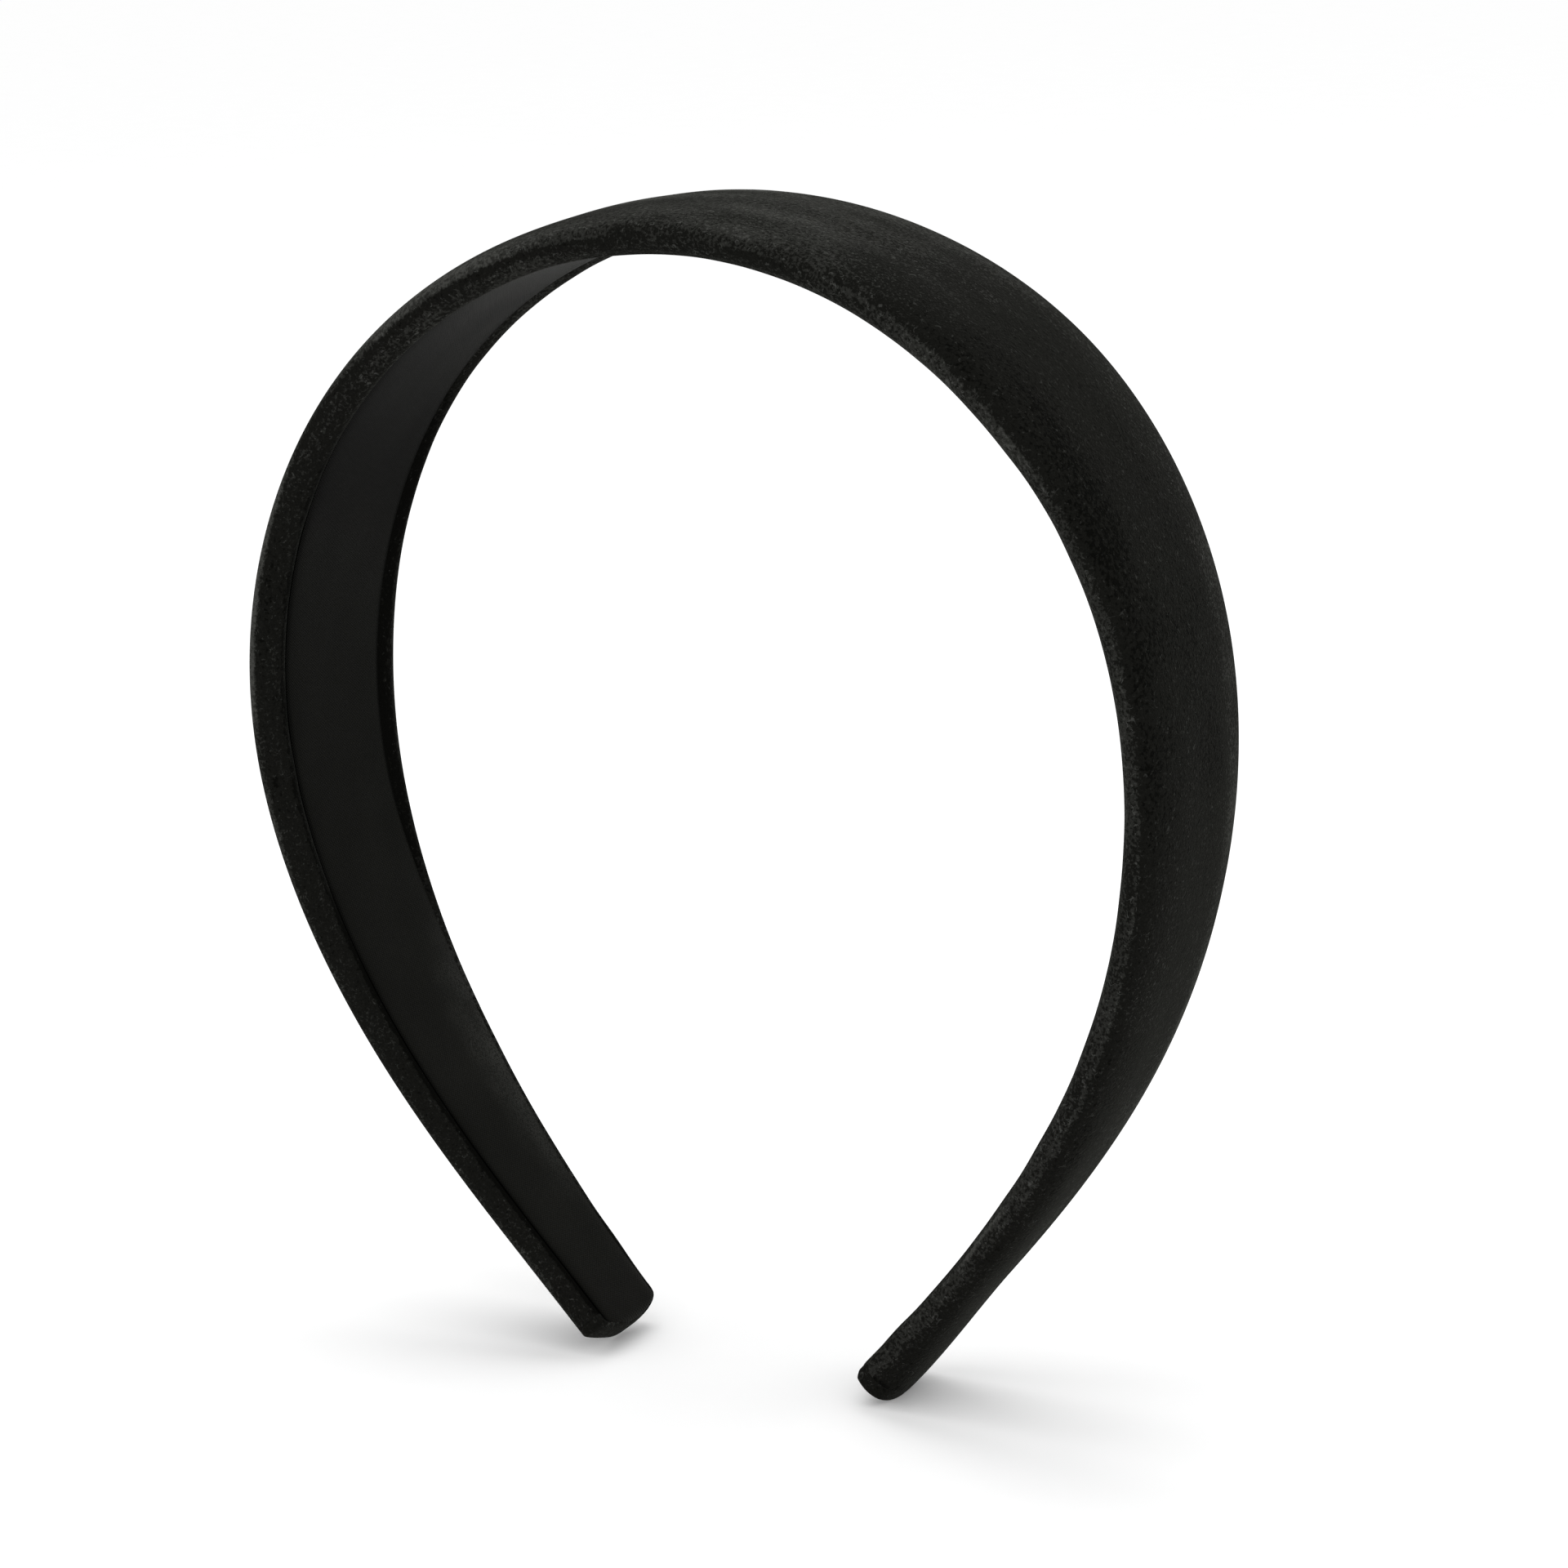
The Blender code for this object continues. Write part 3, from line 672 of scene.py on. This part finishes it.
def lining_strip(name, side, mat):
    """The ribbon: a soft flat face with rolled-under edges, and UVs in millimetres."""
    stop = TIP_END[side] - LINING_SHORT
    s = lay_rows(stop, 0.9, 3.6)[:, None]
    ahead, behind = edges(side, s + LINING_SHORT - 0.02)
    more = fuller(side, s)
    front = np.minimum(half_width(s) + more[0] - rim_width(s, -1), ahead - 0.25)
    back_edge = np.minimum(half_width(s) + more[1] - rim_width(s, 1), behind - 0.25)
    half = 0.5 * (front + back_edge)
    shift = 0.5 * (back_edge - front)
    cols = 41
    t = np.sin(0.5 * np.pi * np.linspace(-1, 1, cols))[None, :]
    edge = np.abs(t) ** 10
    face = LINING_FACE + 0.05 + 0.26 * edge + 0.05 * wander(s / 9.0 + 5 * side, t * half / 6.0, 21) * (1 - edge)
    turned = 2.78 * (1.0 - np.sqrt(1.0 - np.clip(1.0 - (TIP_END[side] - s) / NOSE_IN, 0.0, 1.0) ** 2))
    face = face + turned
    back = np.full_like(face, LINING_FACE + LINING_THICK) + turned
    v = np.concatenate([t * half, -t * half], 1) + shift
    n = np.concatenate([back, face[:, ::-1]], 1)
    obj = sweep(name, place(side, s, v, n), side, mat)
    along = np.broadcast_to(s, v.shape).reshape(-1)
    across = v.reshape(-1)
    uv = obj.data.uv_layers.new(name="ribbon")
    index = np.zeros(len(obj.data.loops), int)
    obj.data.loops.foreach_get("vertex_index", index)
    uv.data.foreach_set("uv", np.stack([along[index], across[index]], 1).astype(np.float32).reshape(-1))
    # painted shade along the arms and on the rolled edges, and painted highlight in patches near the back edge
    lag = s - 14.0 * v / half_width(s)
    strip_tone_and_light = -0.60 * soft(s, 20.0, 40.0) * (1.0 - 0.17 * soft(s, 60.0, 84.0)) * (1.0 - 0.80 * soft(s, 90.0, 165.0))
    strip_tone_and_light = strip_tone_and_light - 0.36 * soft(lag, 36.0, 62.0) * (1.0 - soft(s, 66.0, 88.0)) - 0.14 * bell(s, 36.0, 10.0)
    back_highlight = soft(s, 130.0, 150.0) * (1.0 - soft(s, 168.0, 194.0)) * soft(v / half_width(s), -0.1, 0.95)
    patchy = 0.75 + 0.25 * wander(s / 3.0 + 9.0 * side, v / 2.0, 51)
    rolled = np.concatenate([soft(np.abs(t), 0.93, 0.985), soft(np.abs(t[:, ::-1]), 0.93, 0.985)], 1)
    # painted shade on the rolled edges; on the back edge only higher up the arm
    strip_tone_and_light = strip_tone_and_light - 0.7 * rolled * np.where(v > 0, 1.0 - soft(s, 118.0, 145.0), 1.0)
    paint_tone_and_light(obj, np.clip(strip_tone_and_light + 0.9 * back_highlight * patchy + 0.08 * wander(s / 7.0, v / 4.0, 53), -1.0, 1.0))
    return obj


def tab_cup(name, side, mat):
    """The velvet tab as a cup over the tip: outer face, inner face and open rim."""
    end = TIP_END[side]
    s = np.concatenate([np.linspace(TAB_START, end - 3.0, 12),
                        end - 3.0 + 2.98 * np.sin(np.linspace(0, 0.5 * np.pi, 19)[1:])])
    inset = 0.95 - 0.95 * soft(s, COVER_STOP - 1.1, COVER_STOP + 0.03)
    outer = tab_grid(side, s, inset)
    si = np.linspace(TAB_START, end - 0.75, 18)
    inner = tab_grid(side, si, np.interp(si, s, inset) + 0.6)
    rows_o, cols, _ = outer.shape
    rows_i = len(inner)
    verts = np.concatenate([outer.reshape(-1, 3), inner.reshape(-1, 3)])
    off = rows_o * cols
    faces = []

    def q(*f):
        return f if side > 0 else tuple(reversed(f))

    for r in range(rows_o - 1):
        for c in range(cols):
            d = (c + 1) % cols
            faces.append(q(r * cols + c, (r + 1) * cols + c, (r + 1) * cols + d, r * cols + d))
    for r in range(rows_i - 1):
        for c in range(cols):
            d = (c + 1) % cols
            a = off + r * cols
            faces.append(q(a + c, a + d, a + cols + d, a + cols + c))
    for c in range(cols):
        d = (c + 1) % cols
        faces.append(q(c, d, off + d, off + c))
    faces.append(q(*[off + (rows_i - 1) * cols + c for c in range(cols)]))
    faces.append(q(*[(rows_o - 1) * cols + c for c in reversed(range(cols))]))
    obj = new_object(name, verts, faces, mat, 80)
    strip_tone_and_light = np.zeros((rows_o + rows_i, cols))
    span = np.linspace(0.0, 9.0, cols)[None, :]
    flat = 1.0 - soft(s, HALF_LENGTH - 2.6, HALF_LENGTH - 1.6)
    patch = soft(wander(s[:, None] / 1.2 + 5.0 * side, span, 61), -0.1, 0.5)
    fleck = soft(wander(s[:, None] / 0.9, span * 1.3, 63), -0.1, 0.5)
    strip_tone_and_light[:rows_o] = -0.5 * flat[:, None] * patch + 0.45 * (1.0 - flat[:, None]) * fleck
    paint_tone_and_light(obj, strip_tone_and_light)
    return obj


velvet = velvet_material()
ribbon = lining_material()
plastic = plain_material("core_plastic", (0.020, 0.020, 0.021), (0.030, 0.030, 0.032), 700.0, 0.45, 0.1)
foam = plain_material("pad_foam", (0.030, 0.030, 0.031), (0.065, 0.065, 0.067), 1800.0, 0.95, 0.6)
tape = plain_material("bonding_tape", (0.50, 0.48, 0.42), (0.66, 0.64, 0.57), 900.0, 0.5, 0.15)


def finish_piece(obj, label, slot, *nodes):
    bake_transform(obj)
    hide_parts(*nodes)
    return obj


for label, side in (("left", -1.0), ("right", 1.0)):
    core = flat_strip(f"band_core_{label}", side, HALF_LENGTH - 1.8, 3.0, CORE_INSET, 0.0, CORE_THICK, plastic)
    finish_piece(core, label, "plastic_core", f"core_{label}", "core_crown")
    ftape = flat_strip(f"pad_tape_{label}", side, HALF_LENGTH - 9.0, 0.0, TAPE_INSET, TAPE_BASE, TAPE_BASE + TAPE_THICK, tape)
    finish_piece(ftape, label, "tape", f"foam_tape_{label}", "foam_tape_crown")
    pad = foam_strip(f"pad_{label}", side, foam)
    finish_piece(pad, label, "foam", f"foam_pad_{label}", "foam_pad_crown")
    ltape = flat_strip(f"ribbon_tape_{label}", side, HALF_LENGTH - 9.0, 0.0, TURN_IN + GAP, TURNED_FACE, -GAP, tape)
    finish_piece(ltape, label, "tape", f"lining_tape_{label}", "lining_tape_crown")

    rows = np.concatenate([np.linspace(0.0, COVER_STOP - 2.0, 226), np.linspace(COVER_STOP - 2.0, COVER_STOP, 9)[1:]])
    grid = cover_grid(side, rows)
    cover = shell(f"velvet_{label}", grid, 0.58, side, velvet)
    pile_tone_and_light = cover_tone_and_painted_light(side, rows)
    paint_tone_and_light(cover, np.concatenate([pile_tone_and_light, pile_tone_and_light]))
    finish_piece(cover, label, "velvet", f"velvet_cover_{label}", "velvet_cover_crown")

    lining = lining_strip(f"ribbon_lining_{label}", side, ribbon)
    finish_piece(lining, label, "ribbon", f"lining_{label}", "lining_crown")

    tab = tab_cup(f"tip_velvet_{label}", side, velvet)
    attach(tab, f"{label}_arm")
    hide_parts(f"tip_tab_{label}")

# --------------------------------------------------------------- floor and light
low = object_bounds()[0][2]
bpy.ops.mesh.primitive_plane_add(size=30.0, location=(0.0, 0.0, low))
floor = bpy.context.object
floor.name = "studio_floor"
fmat, fnodes, flinks, fbsdf = nodes_of("pale_floor")
fgrain = noise_node(fnodes, flinks, fnodes.new("ShaderNodeTexCoord").outputs["Object"], 60.0, 3.0)
flinks.new(mixed(fnodes, flinks, fgrain, (0.93, 0.93, 0.93), (0.95, 0.95, 0.95)), fbsdf.inputs["Base Color"])
fbsdf.inputs["Roughness"].default_value = 0.95
fbsdf.inputs["Specular IOR Level"].default_value = 0.0
floor.data.materials.append(fmat)

# the floor gives way under a tip that its arm carries lower than it stands at rest
for label, side in (("left", -1.0), ("right", 1.0)):
    tab = bpy.data.objects[f"tip_velvet_{label}"]
    spots = np.array([tab.matrix_world @ v.co for v in tab.data.vertices])
    for turn in range(5, 30, 5):
        down = np.array((-side * math.sin(math.radians(turn)), 0.0, -math.cos(math.radians(turn))))
        lowest = tab.vertex_groups.new(name=f"lowest_at_{turn}")
        lowest.add([int(np.argmax(spots @ down))], 1.0, "REPLACE")
        give = floor.constraints.new("FLOOR")
        give.target = tab
        give.subtarget = lowest.name
        give.floor_location = "FLOOR_NEGATIVE_Z"

world = bpy.data.worlds.new("studio")
world.use_nodes = True
world.node_tree.nodes["Background"].inputs["Color"].default_value = (1.0, 1.0, 1.0, 1.0)
world.node_tree.nodes["Background"].inputs["Strength"].default_value = 1.05
bpy.context.scene.world = world


def area_light(name, place_at, aim, size, power):
    data = bpy.data.lights.new(name, "AREA")
    data.shape = "DISK"
    data.size = size
    data.energy = power
    obj = bpy.data.objects.new(name, data)
    obj.location = place_at
    obj.rotation_euler = (Vector(aim) - Vector(place_at)).to_track_quat("-Z", "Y").to_euler()
    bpy.context.scene.collection.objects.link(obj)


area_light("over", (-0.15, 0.10, 0.75), (0.0, 0.0, -0.06), 0.8, 2.2)
area_light("right_side", (0.75, 0.35, 0.25), (0.0, 0.0, -0.07), 0.6, 1.0)
area_light("left_front", (-0.65, -0.55, 0.35), (0.0, 0.0, -0.07), 0.6, 0.4)

# ---------------------------------------------------------------------- camera
AZ, EL, ROLL = math.radians(28.84), math.radians(14.94), math.radians(-2.00)
DISTANCE, SCALE, CX, CY = 528.4, 9.227, 897.7, 971.2
TARGET = Vector((0.0, 0.0, (-75.0 + LIFT) * MM))
back = Vector((math.sin(AZ) * math.cos(EL), -math.cos(AZ) * math.cos(EL), math.sin(EL)))
right = Vector((math.cos(AZ), math.sin(AZ), 0.0))
up = back.cross(right)
right2 = math.cos(ROLL) * right + math.sin(ROLL) * up
up2 = -math.sin(ROLL) * right + math.cos(ROLL) * up
cam_data = bpy.data.cameras.new("camera")
cam = bpy.data.objects.new("camera", cam_data)
bpy.context.scene.collection.objects.link(cam)
cam.matrix_world = Matrix.Translation(TARGET + back * DISTANCE * MM) @ Matrix((right2, up2, back)).transposed().to_4x4()
cam_data.sensor_width = 36.0
cam_data.lens = SCALE * DISTANCE / 1920.0 * 36.0
cam_data.shift_x = (960.0 - CX) / 1920.0
cam_data.shift_y = (CY - 960.0) / 1920.0
cam_data.clip_start = 0.01
cam_data.clip_end = 60.0
bpy.context.scene.camera = cam
bpy.context.scene.view_settings.view_transform = "Standard"
bpy.context.scene.view_settings.look = "None"
